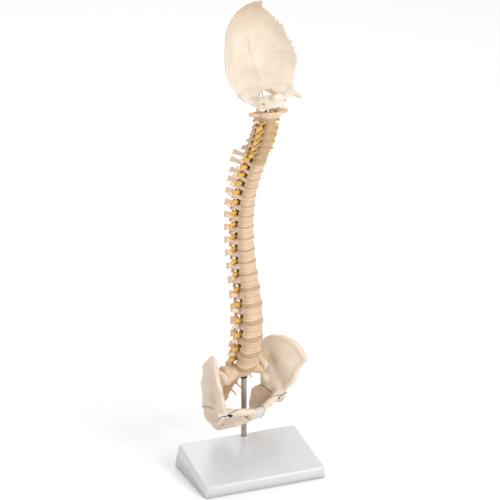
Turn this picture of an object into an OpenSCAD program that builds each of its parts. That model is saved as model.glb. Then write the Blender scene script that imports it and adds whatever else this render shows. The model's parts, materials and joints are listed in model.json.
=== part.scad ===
// Child's spinal column with pelvis and occipital bone, on a rod and a wedge-shaped base.
// The origin is the middle of the base's underside. +X runs along the base's width, -Y is its front.
// The skeleton has its own frame: X to its left, -Y to its front, turned about the rod.

/* [Base] */
// Width of the base
base_w = 180; // [160:1:200]
// Depth of the base
base_d = 119; // [112:1:130]
// Height of the base at its front lip
lip_h = 15; // [13:0.5:18]
// Height of the base at its rear ridge
ridge_h = 35; // [32:0.5:40]
// Distance of the ridge in front of the back edge
ridge_in = 11.5; // [9:0.5:14]
// Wall of the base's moulding
base_wall = 3; // [2.5:0.1:4]
// Thickness of the steel plate that closes the underside
plate_t = 5; // [3:0.5:6]

/* [Rod] */
// Diameter of the rod
rod_d = 8; // [7:0.5:9]
// Distance of the rod from the middle of the base, along its width
rod_x = 8; // [0:0.5:12]
// Distance of the rod behind the middle of the base
rod_y = 41; // [36:0.5:42]
// Height of the rod's top, inside the sacrum
rod_top = 146; // [144:0.5:147]

/* [Column] */
// Turn of the skeleton about the rod
model_turn = 20; // [-180:1:180]
// Turn of the head back towards the front of the base
head_turn = 14; // [0:1:20]
// Height of the middle of the lowest disc
column_z = 151; // [150.5:0.1:152]
// Distance of the lowest disc in front of the rod
column_a = 5; // [4.5:0.1:6]
// Lean of the sacrum's upper face
sacral_tilt = 36; // [33:0.5:38]

/* [Hidden] */
$fn = 32;
LUMBAR = 5;
AXIS = 22;  // level of C2, counted up from L5 at 0
ATLAS = 23;
PLAIN = 12; // sides of a round shape that carries no pin
FIT = 0.08; // radial clearance round the rod
SKIN = 0.02; // gap between a disc and the bones that it meets
BONE = [0.93, 0.85, 0.74];
DISC = [0.70, 0.62, 0.51];
NERVE = [0.90, 0.68, 0.24];
STEEL = [0.72, 0.70, 0.69];
PLASTIC = [0.86, 0.87, 0.89];
DARK = [0.10, 0.09, 0.09];
GRISTLE = [0.78, 0.77, 0.76];

levels = [for (n = [0:AXIS]) n];
function bone_name(n) = n < LUMBAR ? str("L", LUMBAR - n) : n < 17 ? str("T", 17 - n) : str("C", 24 - n);
function disc_name(n) = str("disc_", bone_name(n), "_", n == 0 ? "S1" : bone_name(n - 1));

// Size of each level, from the fifth lumbar vertebra upwards
function tilt(n) = lookup(n, [[0, 20], [1, 10], [2, 3], [3, -4], [4, -10], [5, -11], [6, -9], [9, 0],
    [12, 13], [13, 18], [15, 23], [16, 24], [18, 24], [20, 19], [22, 9]]);
function pitch(n) = lookup(n, [[0, 25], [3, 25.1], [4, 23.7], [5, 21.7], [6, 18], [9, 17.5], [12, 15.8],
    [14, 14.5], [18, 13.2], [19, 10.7], [21, 11], [22, 18.5]]);
function disc_t(n) = lookup(n, [[0, 7], [2, 7.4], [4, 6.4], [6, 4.6], [9, 3.2], [13, 2.6], [22, 2.8],
    [23, 5.6]]);
function body_w(n) = lookup(n, [[0, 33], [4, 29.5], [5, 28], [9, 23.5], [13, 20.5], [16, 22], [18, 21],
    [22, 18]]);
function body_d(n) = lookup(n, [[0, 22], [4, 20.5], [9, 19], [13, 15.5], [16, 13.5], [22, 12]]);
function canal_w(n) = lookup(n, [[0, 18], [9, 13.5], [16, 17], [22, 18]]);
function canal_d(n) = lookup(n, [[0, 13], [9, 12], [16, 12], [22, 13]]);
function process_l(n) = lookup(n, [[0, 28], [4, 26], [5, 20], [9, 21.5], [14, 24], [17, 24], [18, 19],
    [22, 18]]);
function process_p(n) = lookup(n, [[0, 13], [4, 13], [6, 17], [14, 17], [17, 11], [18, 5], [22, 5]]);
function spine_p(n) = lookup(n, [[0, 40], [2, 45], [4, 45], [9, 43], [15, 45], [17, 42], [18, 32], [21, 27],
    [22, 30]]);
function spine_drop(n) = lookup(n, [[0, 3], [5, 4], [9, 6], [13, 9], [16, 13], [17, 9], [18, 5], [20, 3],
    [22, 2.6]]);

// Points in the skeleton's side plane are [forward of the rod, height]
function lean(n) = [sin(tilt(n)), cos(tilt(n))];
function under(n) = n == 0 ? [column_a, column_z] : under(n - 1) + pitch(n - 1) * lean(n - 1);
function body_h(n) = pitch(n) - (disc_t(n) + disc_t(n + 1)) / 2;
function middle(n) = under(n) + lean(n) * (disc_t(n) + body_h(n)) / 2;
function canal_y(n) = (body_d(n) + canal_d(n)) / 2;
neck = under(ATLAS);
bends = [for (n = [0:AXIS]) under(n)];
middles = [for (n = [0:AXIS]) middle(n)];

module in_skeleton() translate([rod_x, rod_y, 0]) rotate([0, 0, model_turn]) children();
module at_bone(n) in_skeleton() translate([0, -middles[n][0], middles[n][1]]) rotate([tilt(n), 0, 0])
    children();
module at_neck() in_skeleton() translate([0, -neck[0], neck[1]]) rotate([tilt(AXIS), 0, 0])
    rotate([0, 0, -head_turn]) children();
module at_head() in_skeleton() translate([0, -neck[0], neck[1]]) rotate([0, 0, -head_turn]) children();
module mirrored() for (side = [-1, 1]) scale_x(side) children();
module scale_x(side) mirror([side < 0 ? 1 : 0, 0, 0]) children();

// A solid bar from a block at one point to a block at another
module bar(from, from_size, to, to_size) hull() {
    translate(from) cube(from_size, center = true);
    translate(to) cube(to_size, center = true);
}

// Outline of a vertebral body or disc, a rounded kidney
module kidney(w, d) hull() {
    translate([0, -d * 0.14]) circle(d * 0.36, $fn = PLAIN);
    for (x = [-1, 1]) translate([x * (w - d * 0.62) / 2, d * 0.1]) circle(d * 0.31, $fn = PLAIN);
    for (x = [-1, 1]) translate([x * (w / 2 - 4), d / 2 - 3]) circle(3, $fn = PLAIN);
}

module canal_outline(n) hull() for (x = [-1, 1])
    translate([x * (canal_w(n) - canal_d(n)) / 2, canal_y(n)]) circle(canal_d(n) / 2, $fn = PLAIN);

module arch_outline(n) difference() {
    hull() {
        for (x = [-1, 1]) translate([x * canal_w(n) / 2, body_d(n) / 2 - 1]) circle(3, $fn = PLAIN);
        for (x = [-1, 1]) translate([x * canal_w(n) * 0.42, canal_y(n) + canal_d(n) * 0.3])
            circle(3.6, $fn = PLAIN);
        translate([0, canal_y(n) + canal_d(n) / 2 + 1.5]) circle(2.5, $fn = PLAIN);
    }
    canal_outline(n);
}

// A vertebra: body with two rims, arch round the canal, spine, side processes and facet joints
module vertebra(n) {
    h = body_h(n);
    rim = h * 0.2;
    facet_x = canal_w(n) / 2 + (n < LUMBAR ? 2 : 0);
    facet_y = canal_y(n) + canal_d(n) * 0.36;
    reach_up = h / 2 + disc_t(n + 1) / 2 + (n > 17 ? 0.2 : min(2.5, 0.15 * h));
    reach_down = h / 2 + disc_t(n) / 2 + (n > 18 ? -0.5 : min(1.2, 0.12 * h));
    arch_back = canal_y(n) + canal_d(n) / 2;
    color(BONE) at_bone(n) {
        for (end = [-1, 1]) translate([0, 0, end * (h - rim) / 2]) linear_extrude(rim, center = true)
            kidney(body_w(n), body_d(n));
        linear_extrude(h - rim, center = true) kidney(body_w(n) * 0.9, body_d(n) * 0.93);
        translate([0, 0, -0.21 * h]) linear_extrude(0.52 * h) arch_outline(n);
        bar([0, arch_back + 3, 0], [4, 3, 0.4 * h], [0, spine_p(n) - 2, -spine_drop(n)], [4.5, 4, 0.5 * h]);
        mirrored() {
            bar([canal_w(n) / 2 + 1, body_d(n) / 2 + 4, 0.08 * h], [3, 5, 0.4 * h],
                [process_l(n) - 2, process_p(n), 0.3 * h], [4, 5, 0.4 * h]);
            if (n < AXIS) bar([facet_x, facet_y, 0.1 * h], [5, 3, 2],
                [facet_x, facet_y, reach_up - 1], [5, 2.6, 2]);
            if (n > 0) bar([facet_x, facet_y + 3, 0], [5, 3, 2],
                [facet_x, facet_y + 4.8, 1 - reach_down], [5, 2.6, 2]);
        }
        if (n == AXIS) translate([0, 0, h / 2 - 1]) cylinder(h = disc_t(ATLAS) + 8, r = 3.6);
    }
}

// The atlas: a ring with two thick sides, turned with the head
module atlas() color(BONE) at_neck() {
    ring_h = 7;
    difference() {
        union() {
            translate([0, 0, 1.2]) linear_extrude(ring_h, center = true) difference() {
                hull() {
                    translate([0, -2]) circle(8.5, $fn = PLAIN * 2);
                    for (x = [-1, 1]) translate([x * 14, 5]) circle(7, $fn = PLAIN * 2);
                    translate([0, 20]) circle(6.5, $fn = PLAIN * 2);
                }
                hull() {
                    circle(5.4, $fn = PLAIN * 2);
                    translate([0, 15]) circle(8.2, $fn = PLAIN * 2);
                }
            }
            mirrored() bar([18, 6, 1.2], [4, 8, 6], [26, 7, 1.2], [4, 5, 4]);
            mirrored() translate([13, 4, 1.4]) cube([9, 12, 7.6], center = true);
        }
        translate([0, 4, 0]) cylinder(h = 20, r = 5.4, center = true);
    }
}

module disc(n) color(DISC) in_skeleton() {
    lower = n == 0 ? sacral_tilt : tilt(n - 1);
    size = body_w(n) * 2;
    translate([0, -bends[n][0], bends[n][1]]) difference() {
        rotate([(tilt(n) + lower) / 2, 0, 0]) linear_extrude(disc_t(n) * 3, center = true)
            kidney(body_w(n) * 0.97, body_d(n) * 0.97);
        for (end = [-1, 1]) rotate([end < 0 ? lower : tilt(n), 0, 0])
            translate([0, 0, end * ((disc_t(n) + size) / 2 - SKIN)]) cube(size, center = true);
    }
}

// Sections of the sacrum: [front, front height, back, back height, half width]
sacrum_sections = [[-3, 136, -28, 143, 29], [-15, 126, -36, 128, 25], [-24, 112, -42, 113, 18],
    [-31, 99, -44, 99, 12], [-36, 88, -42, 86, 5], [-38.5, 81, -39.5, 80, 2.5]];
module sacral_section(s) {
    translate([0, -s[0], s[1]]) cube([s[4] * 2, 2, 2], center = true);
    translate([0, -s[2], s[3]]) cube([s[4] * 1.4, 2, 2], center = true);
}
module sacral_wings() hull() {
    translate([0, -column_a, column_z]) rotate([sacral_tilt, 0, 0])
        translate([0, 0, -disc_t(0) / 2 - 3]) linear_extrude(3) kidney(body_w(0), body_d(0));
    for (x = [-1, 1]) translate([x * 27, 14, 144]) cube([6, 14, 7], center = true);
    sacral_section(sacrum_sections[0]);
}
module sacrum_and_coccyx() color(BONE) difference() {
    in_skeleton() {
        sacral_wings();
        for (i = [0:4]) hull() {
            sacral_section(sacrum_sections[i]);
            sacral_section(sacrum_sections[i + 1]);
        }
    }
    translate([rod_x, rod_y, 100]) cylinder(h = rod_top + 0.5 - 100, d = rod_d + FIT * 2);
    translate([rod_x, rod_y, 100]) cylinder(h = 40.2, r = 6.1);
}

// Points of the left hip bone: [left, forward, height]
hip = [[30, -38, 150], [50, -30, 163], [56, -6, 177], [67, 13, 177], [77, 27, 167], [83, 42, 146],
    [68, 31, 114], [60, 10, 107], [40, -14, 122], [34, -2, 142], [60, 14, 142], [62, -17, 142], [66, -8, 122]];
hip_plates = [[0, 9, 8, 11], [0, 1, 11], [1, 2, 11], [2, 3, 10, 11], [3, 4, 10], [4, 5, 10], [5, 6, 10],
    [6, 7, 10], [10, 12, 7], [10, 11, 12], [11, 12, 8], [8, 12, 7]];
socket = [68, 4, 93];
module at_point(p) translate([p[0], -p[1], p[2]]) children();
module socket_hollow() at_point(socket) sphere(r = 14.5);
module ilium(side) color(BONE) in_skeleton() scale_x(side) difference() {
    for (plate = hip_plates) hull() for (i = plate) at_point(hip[i]) cube([3.6, 4.5, 4.5], center = true);
    socket_hollow();
    sacral_wings();
}
module ischiopubis(side) color(BONE) in_skeleton() scale_x(side) difference() {
    union() {
        hull() {
            at_point([59, 4, 98]) cube([12, 26, 9], center = true);
            at_point([57, 0, 84]) cube([14, 22, 8], center = true);
        }
        hull() {
            at_point([55, -3, 84]) cube([12, 18, 5], center = true);
            at_point([36, -20, 59]) cube([10, 14, 9], center = true);
        }
        hull() {
            at_point([36, -18, 57]) cube([8, 12, 7], center = true);
            at_point([20, 10, 64]) cube([6, 7, 7], center = true);
        }
        hull() {
            at_point([20, 10, 64]) cube([6, 7, 7], center = true);
            at_point([8, 28, 78]) cube([5, 7, 7], center = true);
        }
        hull() {
            at_point([54, 18, 97]) cube([9, 9, 9], center = true);
            at_point([8, 31, 88]) cube([5, 9, 8], center = true);
        }
        hull() {
            at_point([8, 28, 78]) cube([5, 7, 7], center = true);
            at_point([8, 31, 88]) cube([5, 9, 8], center = true);
        }
    }
    socket_hollow();
}
module pubic_symphysis() color(GRISTLE) in_skeleton() translate([0, -30, 83])
    cube([10.6, 9, 18], center = true);

// Shell of the occipital bone: rows are [height above the atlas, half width, depth]
occiput_rows = [[32, 45, 24], [40, 49, 33], [48, 52.5, 43], [56, 55, 51], [64, 57, 57], [72, 56, 61],
    [84, 52.5, 64], [96, 49, 66], [108, 45, 67], [118, 38, 66], [128, 30, 64], [137, 20.5, 60.5],
    [145, 12, 53], [152, 3, 42]];
occiput_half = 64; // half width of the ellipse that the shell follows
occiput_t = 4;
function occiput_point(row, u, inner) = let (x = row[1] * u, k = sqrt(1 - pow(x / occiput_half, 2)))
    [x * (1 - inner * 0.03), (row[2] - inner * occiput_t) * k, row[0]];
module occiput_shell() {
    across = 10;
    top = len(occiput_rows) - 1;
    points = [for (inner = [0, 1]) for (row = occiput_rows) for (i = [0:across])
        occiput_point(row, i * 2 / across - 1, inner)];
    function at(inner, r, i) = (inner * (top + 1) + r) * (across + 1) + i;
    quads = concat(
        [for (r = [0:top - 1]) for (i = [0:across - 1])
            [at(0, r, i), at(0, r, i + 1), at(0, r + 1, i + 1), at(0, r + 1, i)]],
        [for (r = [0:top - 1]) for (i = [0:across - 1])
            [at(1, r, i), at(1, r + 1, i), at(1, r + 1, i + 1), at(1, r, i + 1)]],
        [for (r = [0:top - 1]) [at(0, r, 0), at(0, r + 1, 0), at(1, r + 1, 0), at(1, r, 0)]],
        [for (r = [0:top - 1])
            [at(0, r, across), at(1, r, across), at(1, r + 1, across), at(0, r + 1, across)]],
        [for (i = [0:across - 1]) [at(0, 0, i), at(1, 0, i), at(1, 0, i + 1), at(0, 0, i + 1)]],
        [for (i = [0:across - 1])
            [at(0, top, i), at(0, top, i + 1), at(1, top, i + 1), at(1, top, i)]]);
    polyhedron(points, [for (q = quads) for (f = [[q[0], q[1], q[2]], [q[0], q[2], q[3]]]) f]);
}
module occipital_bone() color(BONE) {
    at_head() {
        occiput_shell();
        mirrored() bar([40, 14, 33], [8, 12, 5], [20, 4, 18], [6, 16, 7]);
        mirrored() bar([22, 19, 31], [9, 8, 8], [17, 3, 17], [6, 12, 7]);
        bar([0, -11, 21], [24, 5, 6], [0, -20, 33], [16, 8, 5]);
        mirrored() bar([17, -2, 17], [6, 10, 6], [9, -11, 21], [6, 5, 6]);
    }
    at_neck() mirrored() translate([14, 3, 13]) cube([8, 14, 9], center = true);
}

// Path of the flexible core, from the sacrum up to the neck, in the skeleton's side plane
function behind(n) = [for (i = [0, 1]) middles[n][i] + [-cos(tilt(n)), sin(tilt(n))][i] * canal_y(n)];
core_r = 3.4;
core_path = [for (n = [0:AXIS]) behind(n)];
module flexible_core() color(NERVE) in_skeleton() {
    ring = 8;
    points = [for (n = [0:AXIS]) for (k = [0:ring - 1]) let (a = k * 360 / ring)
        [core_r * cos(a), -core_path[n][0] + core_r * sin(a) * cos(tilt(n)),
         core_path[n][1] + core_r * sin(a) * sin(tilt(n))]];
    sides = [for (n = [0:AXIS - 1]) for (k = [0:ring - 1]) for (half = [0, 1])
        let (a = n * ring + k, b = n * ring + (k + 1) % ring)
        half == 0 ? [a, a + ring, b + ring] : [a, b + ring, b]];
    caps = [[for (k = [0:ring - 1]) k], [for (k = [ring - 1:-1:0]) AXIS * ring + k]];
    polyhedron(points, concat(sides, caps));
}

// Nerve stubs: one pair at each disc, and four pairs through the front of the sacrum
nerve_r = 1.5;
sacral_nerves = [[13, -6, 131], [12, -17, 122], [10, -26, 108], [7, -33, 96]];
module spinal_nerves() color(NERVE) in_skeleton() {
    for (n = levels) translate([0, -bends[n][0], bends[n][1]]) rotate([tilt(n), 0, 0]) mirrored()
        translate([core_r + 0.6, canal_y(n) - 2.5, n == 0 ? 5 : 0]) rotate([0, 90, 0])
            cylinder(h = canal_w(n) / 2 + 7 - core_r, r = nerve_r - (n > 17 ? 0.5 : 0));
    for (p = sacral_nerves) mirrored() at_point(p) rotate([114, 0, 0]) translate([0, 0, 2.4])
        cylinder(h = 8, r = 1);
}

module stand_rod() color(STEEL) translate([rod_x, rod_y, 0]) {
    translate([0, 0, plate_t + 1]) cylinder(h = rod_top - plate_t - 2, d = rod_d);
    translate([0, 0, rod_top - 1]) cylinder(h = 1, d1 = rod_d, d2 = rod_d - 1.4);
}
module rod_bush() color(DARK) translate([rod_x, rod_y, 134.5]) difference() {
    cylinder(h = 5.6, r = 6);
    translate([0, 0, -1]) cylinder(h = 8, d = rod_d + FIT * 2);
}

// Side outline of the base in [y, z], drawn in by a distance
function base_outline(inset) = [[inset - base_d / 2, inset > 0 ? -1 : 0],
    [inset + 1 - base_d / 2, lip_h - inset],
    [base_d / 2 - ridge_in - inset * 0.4, ridge_h - inset], [base_d / 2 - inset * 1.3, inset > 0 ? -1 : 0]];
module base_block(inset, corner) intersection() {
    rotate([90, 0, 90]) linear_extrude(base_w - inset * 2, center = true) offset(r = corner)
        offset(delta = -corner) polygon(base_outline(inset));
    linear_extrude(ridge_h * 3, center = true) offset(r = corner * 2) offset(delta = -corner * 2)
        square([base_w - inset * 2, base_d - inset * 2], center = true);
}
module base_shell() color(PLASTIC) difference() {
    union() {
        difference() {
            base_block(0, 2.4);
            base_block(base_wall, 1);
        }
        translate([rod_x, rod_y, plate_t + 0.6]) cylinder(h = ridge_h - plate_t - 4, r = 9);
        translate([rod_x, rod_y, ridge_h - 5]) cylinder(h = 7, r1 = 12, r2 = 5.6);
    }
    translate([rod_x, rod_y, plate_t + 0.9]) cylinder(h = ridge_h + 5, d = rod_d + FIT * 2);
    translate([0, 0, -1]) linear_extrude(1.8) square([base_w * 2, base_d * 2], center = true);
}
module base_plate() color(STEEL) linear_extrude(plate_t) offset(r = 4) offset(delta = -4)
    square([base_w - base_wall * 2 - 1.2, base_d - base_wall * 2 - 6], center = true);

for (n = levels) vertebra(n);
atlas();  // C1
for (n = levels) disc(n);
occipital_bone();
sacrum_and_coccyx();
ilium(1);  // ilium_left
ilium(-1);  // ilium_right
ischiopubis(1);  // ischiopubis_left
ischiopubis(-1);  // ischiopubis_right
pubic_symphysis();
spinal_nerves();
flexible_core();
stand_rod();
rod_bush();
base_shell();
base_plate();
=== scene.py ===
"""Looks of a child's spinal column with pelvis and occipital bone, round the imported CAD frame.
Lengths are in millimetres until a mesh is made. In a bone's own frame X is left, Y is back and Z is up."""
import json
import math

import bpy
import numpy as np
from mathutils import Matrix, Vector


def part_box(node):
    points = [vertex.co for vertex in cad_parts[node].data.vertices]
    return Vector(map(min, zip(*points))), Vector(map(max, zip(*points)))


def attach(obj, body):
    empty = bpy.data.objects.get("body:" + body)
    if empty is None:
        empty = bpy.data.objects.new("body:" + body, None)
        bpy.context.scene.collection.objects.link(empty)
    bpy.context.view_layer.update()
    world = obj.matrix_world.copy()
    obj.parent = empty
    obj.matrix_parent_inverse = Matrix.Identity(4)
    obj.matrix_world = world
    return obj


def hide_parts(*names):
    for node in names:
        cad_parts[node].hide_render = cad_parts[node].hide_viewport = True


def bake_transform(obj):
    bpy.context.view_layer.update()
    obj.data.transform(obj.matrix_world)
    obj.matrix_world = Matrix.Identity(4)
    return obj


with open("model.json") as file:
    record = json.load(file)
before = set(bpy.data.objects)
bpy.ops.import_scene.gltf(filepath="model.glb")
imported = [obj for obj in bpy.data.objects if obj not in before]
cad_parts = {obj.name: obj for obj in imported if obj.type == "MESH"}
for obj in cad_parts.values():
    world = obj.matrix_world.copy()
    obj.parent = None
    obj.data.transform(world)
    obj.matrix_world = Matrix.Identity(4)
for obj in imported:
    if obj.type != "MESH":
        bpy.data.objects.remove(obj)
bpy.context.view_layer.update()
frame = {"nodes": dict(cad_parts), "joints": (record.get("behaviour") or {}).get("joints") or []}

MM = 0.001

# ---------------------------------------------------------------- camera and light
scene = bpy.context.scene
CAMERA_AZIMUTH, CAMERA_ELEVATION, CAMERA_DISTANCE = math.radians(-22.5), math.radians(21.2), 4.0
TARGET = Vector((0.0007, 0.0, 0.3416))
LIT = Vector((0, 0, 0.3))  # where the lamps point
camera = bpy.data.objects.new("camera", bpy.data.cameras.new("camera"))
scene.collection.objects.link(camera)
camera.location = TARGET + CAMERA_DISTANCE * Vector((
    math.sin(CAMERA_AZIMUTH) * math.cos(CAMERA_ELEVATION),
    -math.cos(CAMERA_AZIMUTH) * math.cos(CAMERA_ELEVATION), math.sin(CAMERA_ELEVATION)))
camera.rotation_euler = (TARGET - camera.location).to_track_quat("-Z", "Y").to_euler()
camera.data.sensor_width = 36.0
camera.data.lens = 206.0
camera.data.clip_end = 50.0
scene.camera = camera
scene.view_settings.view_transform = "Standard"


def lamp(name, place, size, watts, colour):
    data = bpy.data.lights.new(name, "AREA")
    data.size, data.energy, data.color = size, watts, colour
    made = bpy.data.objects.new(name, data)
    scene.collection.objects.link(made)
    made.location = place
    made.rotation_euler = (LIT - Vector(place)).to_track_quat("-Z", "Y").to_euler()


lamp("key", (1.3, -2.5, 1.9), 1.5, 56.0, (1.0, 0.985, 0.96))
lamp("fill", (-2.3, -1.3, 1.6), 2.0, 12.0, (0.97, 0.985, 1.0))
lamp("back", (0.3, 2.0, 2.6), 2.2, 30.0, (1.0, 1.0, 1.0))
world = bpy.data.worlds.new("studio")
world.use_nodes = True
world.node_tree.nodes["Background"].inputs[0].default_value = (1.0, 1.0, 1.0, 1.0)
world.node_tree.nodes["Background"].inputs[1].default_value = 0.70
scene.world = world


# ---------------------------------------------------------------- materials
class Nodes:
    """A material's node tree, with short calls for the nodes used here."""

    def __init__(self, name):
        self.material = bpy.data.materials.new(name)
        self.material.use_nodes = True
        self.tree = self.material.node_tree
        self.shader = self.tree.nodes["Principled BSDF"]
        self.place = self.add("ShaderNodeTexCoord").outputs["Object"]

    def add(self, kind, **settings):
        made = self.tree.nodes.new(kind)
        for key, value in settings.items():
            setattr(made, key, value)
        return made

    def link(self, out, into):
        self.tree.links.new(out, into)

    def noise(self, scale, detail=4.0, rough=0.55, stretch=None):
        made = self.add("ShaderNodeTexNoise")
        made.inputs["Scale"].default_value = scale
        made.inputs["Detail"].default_value = detail
        made.inputs["Roughness"].default_value = rough
        place = self.place
        if stretch:
            turn = self.add("ShaderNodeMapping")
            turn.inputs["Scale"].default_value = stretch
            self.link(place, turn.inputs["Vector"])
            place = turn.outputs["Vector"]
        self.link(place, made.inputs["Vector"])
        return made.outputs["Fac"]

    def ramp(self, fac, stops):
        made = self.add("ShaderNodeValToRGB")
        ends = made.color_ramp.elements
        while len(ends) < len(stops):
            ends.new(0.5)
        for element, (at, colour) in zip(ends, stops):
            element.position = at
            element.color = (*colour, 1.0) if isinstance(colour, tuple) else (colour,) * 3 + (1.0,)
        self.link(fac, made.inputs["Fac"])
        return made.outputs["Color"]

    def mix(self, fac, a, b, blend="MIX"):
        made = self.add("ShaderNodeMix", data_type="RGBA", blend_type=blend)
        for value, socket in ((fac, made.inputs[0]), (a, made.inputs[6]), (b, made.inputs[7])):
            if isinstance(value, (tuple, float, int)):
                socket.default_value = (*value, 1.0) if isinstance(value, tuple) else value
            else:
                self.link(value, socket)
        return made.outputs[2]

    def attribute(self, name):
        return self.add("ShaderNodeAttribute", attribute_name=name).outputs["Fac"]

    def bump(self, height, strength, distance, after=None):
        made = self.add("ShaderNodeBump")
        made.inputs["Strength"].default_value = strength
        made.inputs["Distance"].default_value = distance
        self.link(height, made.inputs["Height"])
        if after:
            self.link(after, made.inputs["Normal"])
        return made.outputs["Normal"]

    def finish(self, colour, normal, roughness=None, **values):
        self.link(colour, self.shader.inputs["Base Color"])
        if normal:
            self.link(normal, self.shader.inputs["Normal"])
        if roughness is not None:
            self.link(roughness, self.shader.inputs["Roughness"])
        for key, value in values.items():
            self.shader.inputs[key.replace("_", " ")].default_value = value
        return self.material


def bone_material(name, light, tan, deep, shade):
    m = Nodes(name)
    mottled = m.ramp(m.noise(38, 3), [(0.34, tan), (0.62, light)])
    speck = m.ramp(m.noise(520, 2, 0.7), [(0.26, 0.90), (0.42, 1.0)])
    colour = m.mix(1.0, mottled, speck, "MULTIPLY")
    # painted shade: the colour is mixed towards the dark shade colour by the per-vertex attribute, up to the
    # given strength
    painted_shade = m.ramp(m.attribute("painted_shade"), [(0.25, 0.0), (1.0, shade)])
    colour = m.mix(painted_shade, colour, deep)
    pores = m.bump(m.noise(900, 3, 0.6), 0.22, 0.0005)
    normal = m.bump(m.noise(160, 4, 0.6), 0.30, 0.0009, pores)
    rough = m.ramp(m.noise(90, 3), [(0.3, 0.42), (0.7, 0.56)])
    return m.finish(colour, normal, rough, Subsurface_Weight=0.12, Subsurface_Scale=0.004,
                    Subsurface_Radius=(1.0, 0.55, 0.3))


# light and tan colours, the dark colour of the painted shade, and how strongly the painted shade is mixed in
BONE = bone_material("bone", (0.80, 0.61, 0.455), (0.72, 0.52, 0.37), (0.40, 0.24, 0.09), 0.9)
HIP_BONE = bone_material("hip_bone", (0.75, 0.64, 0.53), (0.69, 0.57, 0.45), (0.52, 0.31, 0.11), 0.9)
SKULL = bone_material("skull_bone", (0.76, 0.675, 0.57), (0.70, 0.60, 0.49), (0.46, 0.32, 0.17), 0.8)


def disc_material():
    m = Nodes("disc_rubber")
    colour = m.ramp(m.noise(120, 4), [(0.3, (0.46, 0.30, 0.165)), (0.7, (0.57, 0.39, 0.23))])
    lamella = m.add("ShaderNodeTexWave", wave_type="BANDS", bands_direction="X")
    lamella.inputs["Scale"].default_value = 2.2
    lamella.inputs["Distortion"].default_value = 1.5
    rings = m.add("ShaderNodeCombineXYZ")
    m.link(m.attribute("level"), rings.inputs["X"])
    m.link(rings.outputs["Vector"], lamella.inputs["Vector"])
    colour = m.mix(m.ramp(lamella.outputs["Fac"], [(0.0, 0.22), (0.5, 0.0)]), colour, (0.30, 0.18, 0.09))
    normal = m.bump(m.noise(600, 3), 0.2, 0.0004, m.bump(lamella.outputs["Fac"], 0.25, 0.0005))
    return m.finish(colour, normal, None, Roughness=0.5)


def nerve_material():
    m = Nodes("nerve_rubber")
    colour = m.ramp(m.noise(150, 3), [(0.3, (0.72, 0.40, 0.05)), (0.7, (0.84, 0.53, 0.10))])
    # painted shade: mixed towards dark brown by the per-vertex attribute, in the canal and at the nerve roots
    colour = m.mix(m.ramp(m.attribute("painted_shade"), [(0.1, 0.0), (1.0, 0.92)]), colour, (0.16, 0.06, 0.012))
    normal = m.bump(m.noise(700, 3, 0.6, (1.0, 1.0, 0.4)), 0.2, 0.0004)
    return m.finish(colour, normal, None, Roughness=0.38)


def rubber_material(name, dark, light, roughness):
    m = Nodes(name)
    colour = m.ramp(m.noise(300, 4), [(0.3, dark), (0.7, light)])
    return m.finish(colour, m.bump(m.noise(900, 3), 0.2, 0.0004), None, Roughness=roughness)


def steel_material(name, dark, light, low, high, stretch, metal):
    m = Nodes(name)
    streaks = m.noise(400, 5, 0.6, stretch)
    colour = m.ramp(streaks, [(0.3, dark), (0.7, light)])
    rough = m.ramp(streaks, [(0.3, low), (0.7, high)])
    return m.finish(colour, m.bump(streaks, 0.12, 0.0002), rough, Metallic=metal)


def plastic_material():
    m = Nodes("base_plastic")
    colour = m.ramp(m.noise(25, 3), [(0.3, (0.60, 0.605, 0.615)), (0.7, (0.63, 0.635, 0.645))])
    rough = m.ramp(m.noise(200, 4), [(0.3, 0.26), (0.7, 0.36)])
    normal = m.bump(m.noise(1400, 2), 0.03, 0.0001)
    return m.finish(colour, normal, rough, Coat_Weight=0.15, Coat_Roughness=0.15)


DISC, NERVE, PLASTIC = disc_material(), nerve_material(), plastic_material()
GRISTLE = rubber_material("gristle", (0.60, 0.57, 0.54), (0.70, 0.67, 0.64), 0.45)
BLACK = rubber_material("black_rubber", (0.010, 0.009, 0.008), (0.022, 0.020, 0.018), 0.5)
ROD = steel_material("rod_steel", (0.34, 0.29, 0.24), (0.48, 0.43, 0.37), 0.30, 0.42, (6.0, 6.0, 0.05), 0.9)
PLATE = steel_material("plate_steel", (0.16, 0.165, 0.17), (0.22, 0.225, 0.23), 0.45, 0.6, (1, 1, 1), 0.3)


# ---------------------------------------------------------------- places
class Place:
    """A local frame: where its origin is, and its X, Y and Z axes, in the row frame."""

    def __init__(self, origin, x, y, z):
        self.origin, self.axes = np.array(origin, float), np.array([x, y, z], float)

    def out(self, points):
        return self.origin + np.asarray(points, float) @ self.axes


JOINTS = {j["name"]: j for j in frame["joints"]}


def joint_point(name):
    return np.array(JOINTS[name]["pos_m"]) / MM


UP = np.array([0.0, 0.0, 1.0])
LEFT = np.array(JOINTS["trunk_bend"]["axis"], float)
BACK = np.cross(UP, LEFT)
HEAD_LEFT = np.array(JOINTS["head_nod"]["axis"], float)
HEAD_BACK = np.cross(UP, HEAD_LEFT)
TOP, C7, LUMBAR = 22, 17, 5  # level of C2 and C7, and the number of lumbar levels
NAMES = [f"L{LUMBAR - n}" if n < LUMBAR else f"T{C7 - n}" if n < C7 else f"C{C7 + 7 - n}"
         for n in range(TOP + 1)]
BENDS = ["trunk_bend" if n == 0 else "neck_bend" if n == C7 else f"bend_{NAMES[n]}" for n in range(TOP + 1)]
UNDER = [joint_point(name) for name in BENDS] + [joint_point("head_turn")]

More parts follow.
